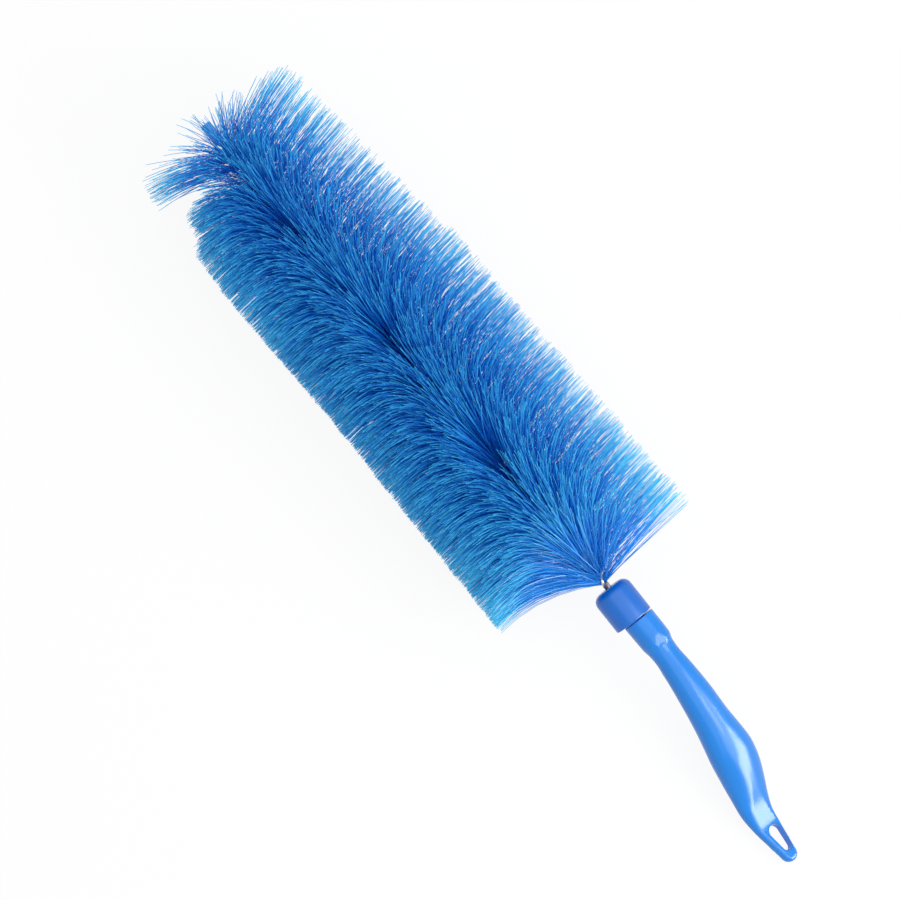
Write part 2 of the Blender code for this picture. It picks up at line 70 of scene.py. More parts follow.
# Collar, socket and spigot
FIT_GAP = 0.0003
COLLAR_RADIUS = 0.01375
COLLAR_LENGTH = 0.027
COLLAR_ROUND = 0.006
COLLAR_RIM_CHAMFER = 0.0007
COLLAR_WEB = 0.003
SOCKET_RADIUS = 0.01075
SOCKET_FLOOR = 0.0098
CHAMBER_RADIUS = 0.008
STEM_HOLE_RADIUS = 0.0032
THREAD_PITCH = 0.003
THREAD_DEPTH = 0.00065
FLANK_STEEPNESS = 0.95
SPIGOT_RADIUS = 0.01045
SPIGOT_LENGTH = 0.016
SPIGOT_CHAMFER = 0.0008
SPIGOT_ROOT = 0.0025
CORE_RADIUS = 0.005

# Wires
WIRE_RADIUS = 0.0012
WIRE_ORBIT = 0.00171
BARE_ORBIT = 0.00124
TWIST_PITCH = 0.016
ROOT_HALF_WIDTH = 0.0030
FOOT_HEIGHT = 0.0082
FOOT_BEND_RADIUS = 0.0024
FOOT_START = FOOT_HEIGHT - FOOT_BEND_RADIUS
FOOT_REACH = 0.007
WIRE_STEP = 0.0007

# Head, measured from the collar's crown
HEAD_LENGTH = 0.401
BARE_STEM = 0.006
BRISTLED_LENGTH = 0.374
LENGTHS = 17
FIRST_ROOT = 0.0042
TIP_START = 0.8
# Where filaments meet the table: room left there, how far they lean away, how sharply they bend
TABLE_CLEARANCE = 0.0007
PRESSED_LEAN = 0.4
PRESSED_SHARPNESS = 6
# A filament's rings, as shares of its length, and how thin its cut end is
RING_PLACES = np.array((0.0, 0.16, 0.36, 0.58, 0.80, 1.0))
END_TAPER = 0.86
# How far the filaments reach to the left and right, by their place from the collar at 0 to the tip
# at 1, and what share of it those on top reach
LEFT_REACH = (
    (0.0, 0.1, 0.25, 0.5, 0.75, 0.83, 0.87, 0.93, 0.955, 1.0),
    (0.0725, 0.0708, 0.0685, 0.0645, 0.0638, 0.0610, 0.0520, 0.0500, 0.0610, 0.0590),
)
RIGHT_REACH = ((0.0, 0.3, 0.6, 0.72, 0.85, 1.0), (0.0780, 0.0785, 0.0780, 0.0745, 0.0715, 0.0690))
TOP_REACH_SHARE = 0.86
# How far they lean towards the tip on the left, right, top and underside, and then at the tip
LEANS = (0.025, 0.006, 0.050, 0.026)
TIP_LEANS = (0.010, 0.017, 0.025, 0.015)
# Gaps between clumps on the left: distance from the bare stem, width, and how far they open
CLUMP_GAPS = ((0.350, 0.012, 0.0110), (0.302, 0.006, 0.0022), (0.325, 0.006, 0.0030))
# Shares of the filaments left out: by place, at the tip's left and right and top, and at a gap
THINNED = ((0.58, 0.78), (0.0, 0.34))
TIP_THINNED = (0.45, -0.08)
TIP_TOP_THINNED = 0.30
GAP_THINNED = 0.6
GAP_HALF_WIDTH = 0.008
# The parting on top: where it runs, in degrees from the right, how far and over what length it
# wanders, how long its pockets are, how wide it is, and how flat filaments lie beside it
PARTING = ((0.5, 0.75), (89, 96))
PARTING_WANDER = 4
WANDER_LENGTH = 0.09
POCKET_LENGTH = 0.022
COMBED_WIDTH = math.radians(22)
FLATTENED = (math.radians(11), math.radians(2))
# Locks of filaments that bend together
LOCK_LENGTH = 0.0026
LOCK_WIDTH = math.radians(9)
LOCK_TURN = math.radians(0.9)
LOCK_LEAN = 0.0006
LOCK_KINDS = 4096
# How far single filaments stray, a few of them more, and the last ones past the tip
TURN_SCATTER = math.radians(2.8)
TURN_SWAY = math.radians(1.5)
LEAN_SCATTER = 0.0028
BEND_SCATTER = 0.0026
STRAY_SHARE = 0.03
STRAY_LEAN = 0.006
SPLAYED = ((0.965, 1.0), (0.0, 1.0))
SPLAY_LEAN = 0.007
LEFT_CURL = 1.40
SLIGHT_CURL = 0.25
# How many waves make up a smooth random field, and how high they rise
WAVE_TERMS = 7
WAVE_PEAK = 1.6
# Painted shade and light on the filaments: how far the painted shade reaches from the parting, most in a
# hollow, and the painted shade and light on the left by place
PAINTED_SHADE_WIDTH = math.radians(32)
HOLLOW_PLACE = 0.74
HOLLOW_HALF_WIDTH = 0.09
LEFT_PAINTED_LIGHT = ((0.0, 0.55, 0.70, 1.0), (-0.06, -0.06, 0.06, 0.06))
SEED = 11

# Tip cap
CAP_RADIUS = 0.00371
CAP_LENGTH = 0.016
CAP_WALL = 0.0007
CAP_ROUND = 0.0016

# Handle
GRIP_LENGTH = 0.1915
NECK_OFFSET = 0.00265
NECK_RADIUS = 0.0111
PALM_HALF_WIDTH = 0.0169
PALM_HALF_THICKNESS = 0.0135
LOOP_HALF_WIDTH = 0.0096
LOOP_HALF_THICKNESS = 0.0036
LOOP_EDGE_ROUND = 0.0030
BEND_ASIDE = 0.0183
BEND_DROP = 0.0318
HOLE_LENGTH = 0.0202
HOLE_END_MARGIN = 0.0074
HOLE_WIDE_RADIUS = 0.0051
HOLE_NARROW_RADIUS = 0.0037
HOLE_SIDE_SHIFT = 0.0014
HOLE_EDGE_ROUND = 0.0007
CUT_OVERRUN = 0.001
NECK_GAP = 0.0011
NECK_EDGE_ROUND = 0.0003
# The flat ramp on the shoulder: a point on it, its slope, its end, what it leaves of the neck, and
# where and how its edges are softened
RAMP_POINT = Vector((0.0226, 0.0045, 0.0092))
RAMP_NORMAL = Vector((0.233, 0.213, 0.949))
RAMP_END = 0.130
PALM_START_SHARE = 0.86
RAMP_ALONG = (0.016, 0.030)
RAMP_SOFT_EDGE = 0.0008
RAMP_SOFTENINGS = 4
# Where the grip's sections are evened out, and over what share of it
SMOOTH_FROM = 0.20
SMOOTH_TO = 0.93
SMOOTH_LENGTH = 0.05
SMOOTH_STEPS = 4
# The grip from the neck to the loop: place along it, the part whose half width and thickness are
# scaled and how much, shares of the bend aside and of the drop, and how square the section is
NECK = (NECK_RADIUS, NECK_RADIUS)
PALM = (PALM_HALF_WIDTH, PALM_HALF_THICKNESS)
LOOP = (LOOP_HALF_WIDTH, LOOP_HALF_THICKNESS)
GRIP_SECTIONS = np.array([
    (along, wide * part[0], thick * part[1], *rest)
    for along, part, wide, thick, *rest in (
        (0.000, NECK, 1.00, 1.00, 0.000, 0.000, 0.0),
        (0.100, NECK, 0.965, 0.99, -0.015, 0.000, 0.0),
        (RAMP_END, NECK, PALM_START_SHARE, PALM_START_SHARE, 0.004, 0.008, 0.0),
        (0.161, NECK, 0.83, 0.82, 0.008, 0.020, 0.0),
        (0.228, PALM, 0.61, 0.71, 0.024, 0.055, 0.0),
        (0.331, PALM, 0.71, 0.81, 0.085, 0.160, 0.0),
        (0.434, PALM, 0.79, 0.90, 0.195, 0.305, 0.0),
        (0.501, PALM, 0.895, 0.97, 0.265, 0.415, 0.0),
        (0.577, PALM, 1.00, 1.00, 0.363, 0.550, 0.0),
        (0.638, PALM, 0.975, 0.92, 0.493, 0.665, 0.05),
        (0.706, PALM, 0.87, 0.72, 0.693, 0.800, 0.2),
        (0.774, PALM, 0.73, 0.46, 0.910, 0.926, 0.6),
        (0.815, LOOP, 1.10, 1.32, 0.985, 0.970, 0.8),
        (0.851, LOOP, 1.01, 1.00, 1.000, 1.000, 1.0),
        (0.909, LOOP, 0.81, 1.00, 1.000, 1.000, 1.0),
        (0.966, LOOP, 0.62, 1.00, 1.000, 1.000, 1.0),
    )
])

# How finely pieces are made
RINGS_PER_SECTION = 14
SECTION_POINTS = 144
QUARTER_STEPS = 40
ROUND_STEPS = 8
FACETS = 96
ROWS_PER_PITCH = 12
SHARP_ANGLE = math.radians(35.0)
WELD_DISTANCE = 0.000003
PLACE_TOLERANCE = 0.0015

# Finishes: scales of their patterns, depth of their relief, and their gloss
CLOUD_SCALE = 38.0
PATCH_SCALE = 55.0
FLOW_SCALE = 210.0
FLOW_STRETCH = (0.25, 1.0, 1.0)
SCUFF_SCALE = 700.0
SCUFF_STRENGTH = 0.35
SCUFF_PALENESS = 0.35
SKIN_SCALE = 2600.0
SKIN_DEPTH = 0.00012
MOULDING_IOR = 1.49
ZINC_PATCH_SCALE = 420.0
ZINC_GRAIN_SCALE = 3000.0
ZINC_GRAIN_DEPTH = 0.00005
ZINC_ROUGHNESS = 0.44
# Share along a filament where its painted root shade ends and its painted paler end begins
PAINTED_SHADE_TO_PALE_AT = 0.55
FILAMENT_ROUGHNESS = 0.20
FILAMENT_IOR = 1.50
WHITE = (1.0, 1.0, 1.0, 1.0)
FLOOR_COLOUR = (0.86, 0.86, 0.86, 1.0)
FLOOR_SIZE = 8.0
BACKDROP_STRENGTH = 1.02
BACKDROP_SHARE = 0.88
# The soft lights: where each is, its size, and whether it lights surfaces or is only mirrored
LIGHTS = {
    "key": ((0.0, 0.35, 1.65), (2.6, 2.6), True),
    "end": ((0.84, 0.59, 0.80), (0.90, 0.75), True),
    "low": ((1.10, 0.80, 0.32), (0.85, 0.66), False),
    "ramp": ((0.85, 0.64, 1.20), (0.26, 0.26), True),
}

# Frames of the brush, its crown and its stem
BRUSH = Matrix.Translation(RIM_CENTRE) @ Matrix.Rotation(REST_PITCH, 4, "Y")
CROWN = BRUSH @ Matrix.Translation((-COLLAR_LENGTH, 0, 0))
STEM = CROWN @ Matrix.Rotation(HEAD_LEAN, 4, "Z")


def setting(name, about, default, **limits):
    return FloatProperty(name=name, description=about, default=default, **limits)


def colour_setting(name, about, default):
    return FloatVectorProperty(name=name, description=about, default=default, size=3, subtype="COLOR")


class HeadSettings(bpy.types.PropertyGroup):
    """Sizes and colours of the brush head."""

    filament_count: IntProperty(
        name="Filaments", description="Filament ends that are sown", default=22500, min=1700, max=60000
    )
    filament_thickness: setting("Thickness", "Diameter of a filament", 0.00046, min=0.0001, unit="LENGTH")
    fan_spread: setting("Fan spread", "How far filaments fan out", math.radians(35.0), subtype="ANGLE")
    parting: setting("Parting", "How far filaments on top are combed", math.radians(6.0), subtype="ANGLE")
    right_share: setting("Right side", "Share of filaments left", 0.50, min=0.1, max=1.0, subtype="FACTOR")
    colour: colour_setting("Colour", "Colour of a filament", (0.018, 0.405, 0.980))
    # Painted shade: the dark end of the filaments' random tone and of the shade painted on them
    dark_tone_and_shade_colour: colour_setting("Deep colour", "Colour of the darkest filaments", (0.004, 0.088, 0.660))
    # Painted light: the paler colour drawn towards the filaments' cut ends
    painted_pale_end_colour: colour_setting("Cut colour", "Colour towards a cut end", (0.090, 0.700, 0.980))
    wire_colour: colour_setting("Wire colour", "Colour of the zinc-coated wires", (0.560, 0.540, 0.500))


class MouldingSettings(bpy.types.PropertyGroup):
    """Colours and finish of the moulded pieces."""

    handle_colour: colour_setting("Handle", "Colour of the handle", (0.003, 0.220, 0.740))
    collar_colour: colour_setting("Collar", "Colour of the collar", (0.001, 0.140, 0.580))
    cap_colour: colour_setting("Tip cap", "Colour of the cap", (0.025, 0.300, 0.900))
    anchor_colour: colour_setting("Stem anchor", "Colour of the anchor", (0.320, 0.330, 0.340))
    roughness: setting("Roughness", "Roughness of mouldings", 0.23, min=0.0, max=1.0, subtype="FACTOR")


class StageSettings(bpy.types.PropertyGroup):
    """Floor, light and camera."""

    view_centre: FloatVectorProperty(
        name="View centre",
        description="The point that the camera looks straight down at",
        default=(-0.03805, -0.0196, 0.030),
        size=3,
        subtype="TRANSLATION",
    )
    view_width: setting("View width", "Width of the floor that is seen", 0.5895, min=0.01, unit="LENGTH")
    view_turn: setting("View turn", "Turn of the camera", math.radians(51.54), subtype="ANGLE")
    lens: setting("Lens", "Focal length in millimetres", 300.0, min=10.0)
    room_light: setting("Room light", "Strength of the even light of the room", 0.42, min=0.0)
    key_power: setting("Key light", "Power of the wide light above", 21.5, unit="POWER")
    end_power: setting("End light", "Power of the light beyond the handle", 5.5, unit="POWER")
    low_power: setting("Low light", "Power of the light that is seen in reflections", 22.0, unit="POWER")
    ramp_power: setting("Ramp light", "Power of the light on the shoulder", 1.2, unit="POWER")


class Number:
    """A socket that takes part in sums: each operator adds the Math node that works it out."""

    def __init__(self, finish, socket):
        self.finish = finish
        self.socket = socket

    def _math(self, operation, first, second):
        node = self.finish.node("ShaderNodeMath", {"operation": operation}, {0: first, 1: second})
        return Number(self.finish, node.outputs[0])

    def __add__(self, other):
        return self._math("ADD", self, other)

    def __sub__(self, other):
        return self._math("SUBTRACT", self, other)

    def __rsub__(self, other):
        return self._math("SUBTRACT", other, self)

    def __mul__(self, other):
        return self._math("MULTIPLY", self, other)

    def at_most(self, other):
        return self._math("MINIMUM", self, other)

    __radd__ = __add__
    __rmul__ = __mul__


class Finish:
    """The nodes of one material, or of the world."""

    def __init__(self, block):
        self.block = block
        block.use_nodes = True
        self.tree = block.node_tree
        self.tree.nodes.clear()

    def node(self, kind, settings=None, sockets=None):
        """A node of this type, with its settings first and then what its sockets hold or link to."""
        node = self.tree.nodes.new(kind)
        for key, value in (settings or {}).items():
            setattr(node, key, value)
        for key, value in (sockets or {}).items():
            value = value.socket if isinstance(value, Number) else value
            if isinstance(value, bpy.types.NodeSocket):
                self.tree.links.new(value, node.inputs[key])
            else:
                node.inputs[key].default_value = value
        return node

    def object_place(self):
        return self.node("ShaderNodeTexCoord").outputs["Object"]

    def bump(self, height, strength, depth):
        """The surface's normal with this relief, up to so many metres deep."""
        sockets = {"Height": height, "Strength": strength, "Distance": depth}
        return self.node("ShaderNodeBump", None, sockets).outputs[0]

    def noise(self, where, scale, detail=2.0, roughness=0.5):
        sockets = {"Vector": where, "Scale": scale, "Detail": detail, "Roughness": roughness}
        return Number(self, self.node("ShaderNodeTexNoise", None, sockets).outputs["Fac"])

    def between(self, value, low, high):
        """How far a value is from low to high, from 0 to 1."""
        settings = {"clamp": True, "interpolation_type": "SMOOTHSTEP"}
        sockets = {"Value": value, "From Min": low, "From Max": high}
        return Number(self, self.node("ShaderNodeMapRange", settings, sockets).outputs["Result"])

    def blend(self, first, second, share):
        """One colour going over to another."""
        sockets = {"Factor": share, 6: opaque(first), 7: opaque(second)}
        return self.node("ShaderNodeMix", {"data_type": "RGBA"}, sockets).outputs[2]

    def surface(self, sockets):
        """The Principled shader, on the material's output."""
        shader = self.node("ShaderNodeBsdfPrincipled", None, sockets)
        self.node("ShaderNodeOutputMaterial", None, {"Surface": shader.outputs[0]})
        return self.block

    def seen(self):
        """1 where the camera, a shiny surface or a clear one looks at it, and otherwise 0."""
        path = self.node("ShaderNodeLightPath")
        seen = Number(self, path.outputs["Is Camera Ray"])
        return (seen + path.outputs["Is Glossy Ray"] + path.outputs["Is Transmission Ray"]).at_most(1.0)


def opaque(colour):
    return colour if isinstance(colour, bpy.types.NodeSocket) else (*tuple(colour)[:3], 1.0)


def scaled(colour, share):
    return tuple(share * part for part in tuple(colour)[:3])


def moulded_plastic(name, colour, roughness):
    """Glossy moulded plastic: slow changes of shade, flow marks, a fine skin and a few pale scuffs."""
    finish = Finish(bpy.data.materials.new(name))
    where = finish.object_place()
    stretch = {"Vector": where, "Scale": FLOW_STRETCH, "Rotation": (0, REST_PITCH, 0)}
    along = finish.node("ShaderNodeMapping", None, stretch).outputs[0]
    cloud = finish.noise(where, CLOUD_SCALE, 2.0)
    flow = finish.noise(along, FLOW_SCALE, 3.0, 0.6)
    skin = finish.noise(where, SKIN_SCALE, 2.0, 0.6)
    scuff = finish.between(finish.noise(along, SCUFF_SCALE, 4.0, 0.7), 0.66, 0.78)
    patch = finish.between(finish.noise(where, PATCH_SCALE, 1.0), 0.50, 0.66)
    worn = scuff * patch * SCUFF_STRENGTH
    shade = finish.blend(scaled(colour, 0.90), scaled(colour, 1.10), cloud * 0.7 + flow * 0.3)
    pale = tuple(part + SCUFF_PALENESS * (1 - part) for part in tuple(colour)[:3])
    return finish.surface(
        {
            "Base Color": finish.blend(shade, pale, worn),
            "Roughness": roughness + (cloud - 0.5) * 0.10 + (skin - 0.5) * 0.06 + worn * 0.4,
            "Normal": finish.bump(skin * 0.5 + flow * 0.5 + worn * 0.6, 0.10, SKIN_DEPTH),
            "IOR": MOULDING_IOR,
        }
    )


def zinc_wire(name, colour):
    """Zinc-coated steel wire: drawn, dull in patches and bright where it has rubbed."""
    finish = Finish(bpy.data.materials.new(name))
    where = finish.object_place()
    bright = finish.between(finish.noise(where, ZINC_PATCH_SCALE, 3.0, 0.6), 0.42, 0.62)
    fine = finish.noise(where, ZINC_GRAIN_SCALE, 2.0, 0.6)
    shade = finish.blend(scaled(colour, 0.55), scaled(colour, 1.25), bright * 0.7 + fine * 0.3)
    return finish.surface(
        {
            "Base Color": shade,
            "Metallic": 1.0,
            "Roughness": ZINC_ROUGHNESS - bright * 0.16 + (fine - 0.5) * 0.12,
            "Normal": finish.bump(fine, 0.2, ZINC_GRAIN_DEPTH),
        }
    )


def filament_finish(name, settings):
    """Blue monofilament: each one in its random tone with painted shade and light, with painted shade
    deeper near the stem and painted light paler towards its cut end.
    """
    finish = Finish(bpy.data.materials.new(name))
    strand = finish.node("ShaderNodeUVMap", {"uv_map": "strand"}).outputs[0]
    parts = finish.node("ShaderNodeSeparateXYZ", None, {0: strand})
    own, along = (Number(finish, parts.outputs[index]) for index in (0, 1))
    # Painted shade: filaments are drawn darker near the stem, where shade falls among them, on top of
    # their random tone and painted shade.
    bright = own * 0.75 + finish.between(along, 0.0, PAINTED_SHADE_TO_PALE_AT) * 0.25
    body = finish.blend(settings.dark_tone_and_shade_colour, settings.colour, bright)
    # Painted light: filaments are drawn paler towards their cut ends, for light through and onto the thin
    # outer ends.
    cut = finish.between(along, PAINTED_SHADE_TO_PALE_AT, 1.0) * (0.25 + own * 0.75)
    return finish.surface(
        {
            "Base Color": finish.blend(body, settings.painted_pale_end_colour, cut),
            "Roughness": FILAMENT_ROUGHNESS + own * 0.16,
            "IOR": FILAMENT_IOR,
        }
    )


def pale_floor(name):
    """A white floor that the camera and shiny surfaces see as a bright backdrop with faint shadows."""
    finish = Finish(bpy.data.materials.new(name))
    matt = finish.node("ShaderNodeBsdfDiffuse", None, {"Color": FLOOR_COLOUR})
    glow = finish.node("ShaderNodeEmission", None, {"Color": WHITE, "Strength": BACKDROP_STRENGTH})
    shaders = {0: finish.seen() * BACKDROP_SHARE, 1: matt.outputs[0], 2: glow.outputs[0]}
    both = finish.node("ShaderNodeMixShader", None, shaders)
    finish.node("ShaderNodeOutputMaterial", None, {"Surface": both.outputs[0]})
    return finish.block


def add_piece(name, mesh, material, slot, body, *nodes):
    """A piece that rides on a body, takes its finish and stands for these solids. The slot argument is not
    used.
    """
    mesh.materials.clear()
    mesh.materials.append(material)
    piece = bpy.data.objects.new(name, mesh)
    bpy.context.scene.collection.objects.link(piece)
    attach(piece, body)
    if nodes:
        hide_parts(*nodes)
    return piece


def check_place(piece, node):
    """Raises an error if a piece isn't where the solid that it stands for is."""
    corners = np.array(piece.bound_box)
    off = (corners.min(axis=0) + corners.max(axis=0)) / 2 - np.mean(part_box(node), axis=0)
    if np.abs(off).max() > PLACE_TOLERANCE:
        raise ValueError(f"{piece.name} is {off} m off {node}")


def mesh_from(bm, name, matrix):
    """A mesh from a bmesh, moved to its place and shaded smooth apart from its sharp edges."""
    bmesh.ops.recalc_face_normals(bm, faces=bm.faces)
    bmesh.ops.transform(bm, matrix=matrix, verts=bm.verts)
    mesh = bpy.data.meshes.new(name)
    bm.to_mesh(mesh)
    bm.free()
    mesh.shade_smooth()
    mesh.set_sharp_from_angle(angle=SHARP_ANGLE)
    return mesh


def applied(name, mesh, *modifiers):
    """The mesh with these modifiers applied: each is a type and its settings."""
    holder = bpy.data.objects.new(name, mesh)
    bpy.context.scene.collection.objects.link(holder)
    for kind, settings in modifiers:
        modifier = holder.modifiers.new(kind, kind)
        for key, value in settings.items():
            setattr(modifier, key, value)
    graph = bpy.context.evaluated_depsgraph_get()
    result = bpy.data.meshes.new_from_object(holder.evaluated_get(graph), depsgraph=graph)
    result.name = name
    bpy.data.objects.remove(holder)
    return result


def spaced(start, end, steps):
    """Evenly spaced places, from start to end."""
    return [start + (end - start) * step / steps for step in range(steps + 1)]


def arc(centre, radius, start, end, steps=ROUND_STEPS):
    """Points (x, r) of a profile's arc, with angles in degrees from +X towards +r."""
    angles = [math.radians(degrees) for degrees in spaced(start, end, steps)]
    return [(centre[0] + radius * math.cos(a), centre[1] + radius * math.sin(a)) for a in angles]


def turned(profile, facets=FACETS):
    """A body turned about the X axis from points (x, r)."""
    bm = bmesh.new()
    verts = [bm.verts.new((x, r, 0)) for x, r in profile]
    for first, second in zip(verts, verts[1:], strict=False):
        bm.edges.new((first, second))
    if profile[0][1] > 0:
        bm.edges.new((verts[-1], verts[0]))
    bmesh.ops.spin(
        bm,
        geom=bm.verts[:] + bm.edges[:],
        cent=(0, 0, 0),
        axis=(1, 0, 0),
        angle=math.tau,
        steps=facets,
        use_merge=True,
    )
    bmesh.ops.remove_doubles(bm, verts=bm.verts, dist=WELD_DISTANCE)
    return bm


def cut_thread(bm, start, end, wall, direction):
    """Press a thread into a turned wall between two places along X."""
    for vert in bm.verts:
        radius = vert.co.yz.length
        if not start < vert.co.x < end or abs(radius - wall) > WELD_DISTANCE:
            continue
        turn = math.atan2(vert.co.z, vert.co.y) / math.tau
        profile = 0.5 + FLANK_STEEPNESS * math.cos(math.tau * (vert.co.x / THREAD_PITCH - turn))
        ends = min(vert.co.x - start, end - vert.co.x) / (THREAD_PITCH / 2)
        depth = THREAD_DEPTH * max(0.0, min(1.0, profile)) * min(1.0, ends)
        vert.co.yz *= (radius + direction * depth) / radius


def loft(rings):
    """A closed bmesh through rings of as many points each."""
    bm = bmesh.new()
    face = bm.faces.new([bm.verts.new(point) for point in rings[0]])
    for ring in rings[1:]:
        face = bmesh.ops.extrude_discrete_faces(bm, faces=[face])["faces"][0]
        for vert, point in zip(face.verts, ring, strict=True):
            vert.co = point
    bmesh.ops.holes_fill(bm, edges=[edge for edge in bm.edges if edge.is_boundary])
    return bm


def smooth_row(table, along):
    """A table's row at a place in its first column, on curves that never overshoot its rows."""
    places, values = table[:, 0], table[:, 1:]
    slopes = np.diff(values, axis=0) / np.diff(places)[:, None]
    before, after = slopes[:-1], slopes[1:]
    agree = before * after > 0
    tangents = np.where(agree, 2 * before * after / np.where(agree, before + after, 1), 0)
    tangents = np.concatenate([slopes[:1], tangents, slopes[-1:]])
    row = np.searchsorted(places[1:-1], along, side="right")
    span = places[row + 1] - places[row]
    t = (along - places[row]) / span
    return (
        values[row] * (1 + 2 * t) * (1 - t) ** 2
        + span * tangents[row] * t * (1 - t) ** 2
        + values[row + 1] * t * t * (3 - 2 * t)
        - span * tangents[row + 1] * t * t * (1 - t)
    )


def section_point(width, thickness):
    """A point of the handle's section, in the plane across the collar's axis."""
    across = Vector((0, math.cos(HANDLE_ROLL), -math.sin(HANDLE_ROLL)))
    through = Vector((0, math.sin(HANDLE_ROLL), math.cos(HANDLE_ROLL)))
    return Vector((0, NECK_OFFSET, 0)) + across * width + through * thickness


def half_section(half_width, half_thickness, edge_round, squareness):
    """One side of the handle's section, from its underside round to its top."""
    steps = 2 * QUARTER_STEPS + 3
    turns = math.pi * ((np.arange(steps) + 0.5) / steps - 0.5)
    oval = np.stack([half_width * np.cos(turns), half_thickness * np.sin(turns)], 1)
    quarter = np.array(spaced(0, math.pi / 2, QUARTER_STEPS))
    cut = edge_round * (1 - np.stack([np.cos(quarter), np.sin(quarter)], 1))
    corner = (half_width, half_thickness) - cut
    square = np.concatenate([corner[::-1] * (1, -1), [(half_width, 0)], corner])
    return oval + squareness * (square - oval)


def grip_ring(along, half_width, half_thickness, aside_share, drop_share, squareness):
    """One section of the grip, as evenly spaced points."""
    edge_round = LOOP_EDGE_ROUND / LOOP_HALF_THICKNESS * min(half_width, half_thickness)
    side = half_section(half_width, half_thickness, edge_round, squareness)
    underside = [(0, side[0, 1])]
    around = np.concatenate([underside, side, side[::-1] * (-1, 1), underside])
    travelled = np.concatenate([[0.0], np.cumsum(np.linalg.norm(np.diff(around, axis=0), axis=1))])
    places = np.arange(SECTION_POINTS) / SECTION_POINTS * travelled[-1]
    widths, levels = (np.interp(places, travelled, column) for column in around.T)
    place = Vector((along, -aside_share * BEND_ASIDE, -drop_share * BEND_DROP))
    return [section_point(width, level) + place for width, level in zip(widths, levels, strict=True)]


def ramped(ring, along):
    """The ring with the flat ramp cut into its shoulder."""
    centre = Vector((along, NECK_OFFSET, 0))
    for index, point in enumerate(ring):
        spoke = point - centre
        beyond = (point - RAMP_POINT).dot(RAMP_NORMAL)
        if beyond > 0 and spoke.length > PALM_START_SHARE * NECK_RADIUS:
            share = 1 - beyond / spoke.dot(RAMP_NORMAL)
            ring[index] = centre + spoke * max(share, PALM_START_SHARE * NECK_RADIUS / spoke.length)
    return ring


def grip_section(share):
    """The grip's table at a place along it, evened out beyond the neck."""
    if not SMOOTH_FROM < share < SMOOTH_TO:
        return smooth_row(GRIP_SECTIONS, share)
    rows = []
    steps = range(-SMOOTH_STEPS, SMOOTH_STEPS + 1)
    for step in steps:
        near = share + SMOOTH_LENGTH * step / (2 * SMOOTH_STEPS)
        rows.append(smooth_row(GRIP_SECTIONS, near if SMOOTH_FROM < near < SMOOTH_TO else share))
    return np.average(rows, axis=0, weights=[SMOOTH_STEPS + 1 - abs(step) for step in steps])


def grip_rings():
    """The grip's sections, from the neck's end face to the round end of the loop."""
    last = GRIP_SECTIONS[-1]
    rings = []
    for turn in spaced(0, math.pi / 2, ROUND_STEPS // 2)[:-1]:
        radius = NECK_RADIUS - NECK_EDGE_ROUND * (1 - math.sin(turn))
        along = NECK_GAP + NECK_EDGE_ROUND * (1 - math.cos(turn))
        rings.append(grip_ring(along, radius, radius, 0, 0, 0))
    places = []
    for row, after in zip(GRIP_SECTIONS, GRIP_SECTIONS[1:], strict=False):
        places += spaced(row[0], after[0], RINGS_PER_SECTION)[:-1]
    for share in (*places, last[0]):
        if share * GRIP_LENGTH > NECK_GAP + NECK_EDGE_ROUND:
            ring = grip_ring(share * GRIP_LENGTH, *grip_section(share))
            rings.append(ramped(ring, share * GRIP_LENGTH) if share < RAMP_END else ring)
    straight_end = last[0] * GRIP_LENGTH
    for turn in spaced(0, math.pi / 2, 2 * ROUND_STEPS)[1:-1]:
        along = straight_end + (GRIP_LENGTH - straight_end) * math.sin(turn)
        edge = min(GRIP_LENGTH - along, LOOP_EDGE_ROUND)
        fall = LOOP_EDGE_ROUND - math.sqrt(LOOP_EDGE_ROUND**2 - (LOOP_EDGE_ROUND - edge) ** 2)
        rings.append(grip_ring(along, last[1] * math.cos(turn), last[2] - fall, *last[3:]))
    return rings


def soften_ramp(bm):
    """Ease the edges of the ramp on the shoulder."""
    near = [
        vert
        for vert in bm.verts
        if RAMP_ALONG[0] < vert.co.x < RAMP_ALONG[1]
        and (vert.co - RAMP_POINT).dot(RAMP_NORMAL) > -RAMP_SOFT_EDGE
    ]
    every_way = {"use_axis_x": True, "use_axis_y": True, "use_axis_z": True}
    for _ in range(RAMP_SOFTENINGS):
        bmesh.ops.smooth_vert(bm, verts=near, factor=0.5, **every_way)
    return bm


def hole_rings():
    """A slot that narrows towards the loop's end and is rounded where it meets both faces."""
    narrow_centre = GRIP_LENGTH - HOLE_END_MARGIN - HOLE_NARROW_RADIUS
    wide_centre = GRIP_LENGTH - HOLE_END_MARGIN - HOLE_LENGTH + HOLE_WIDE_RADIUS
    levels = [(-CUT_OVERRUN - LOOP_HALF_THICKNESS, HOLE_EDGE_ROUND)]
    for turn in spaced(0, math.pi / 2, ROUND_STEPS):
        level = HOLE_EDGE_ROUND * math.sin(turn) - LOOP_HALF_THICKNESS
        levels.append((level, HOLE_EDGE_ROUND * (1 - math.cos(math.pi / 2 - turn))))
    levels += [(-level, flare) for level, flare in reversed(levels)]
    rings = []
    for level, flare in levels:
        ring = []
        for centre, radius, start in (
            (narrow_centre, HOLE_NARROW_RADIUS, -math.pi / 2),
            (wide_centre, HOLE_WIDE_RADIUS, math.pi / 2),
        ):
            for angle in spaced(start, start + math.pi, 3 * ROUND_STEPS):
                width = HOLE_SIDE_SHIFT + (radius + flare) * math.sin(angle)
                along = centre + (radius + flare) * math.cos(angle)
                ring.append(section_point(width, level) + Vector((along, -BEND_ASIDE, -BEND_DROP)))
        rings.append(ring)
    return rings


def thread_rows(start, end):
    """Places along a threaded wall, close enough to carry its thread."""
    return spaced(start, end, round((end - start) / (THREAD_PITCH / ROWS_PER_PITCH)))


def twist(along):
    """How far the wires have turned, at a place along the stem. The feet lie along Y."""
    return math.tau * (along - FOOT_START) / TWIST_PITCH


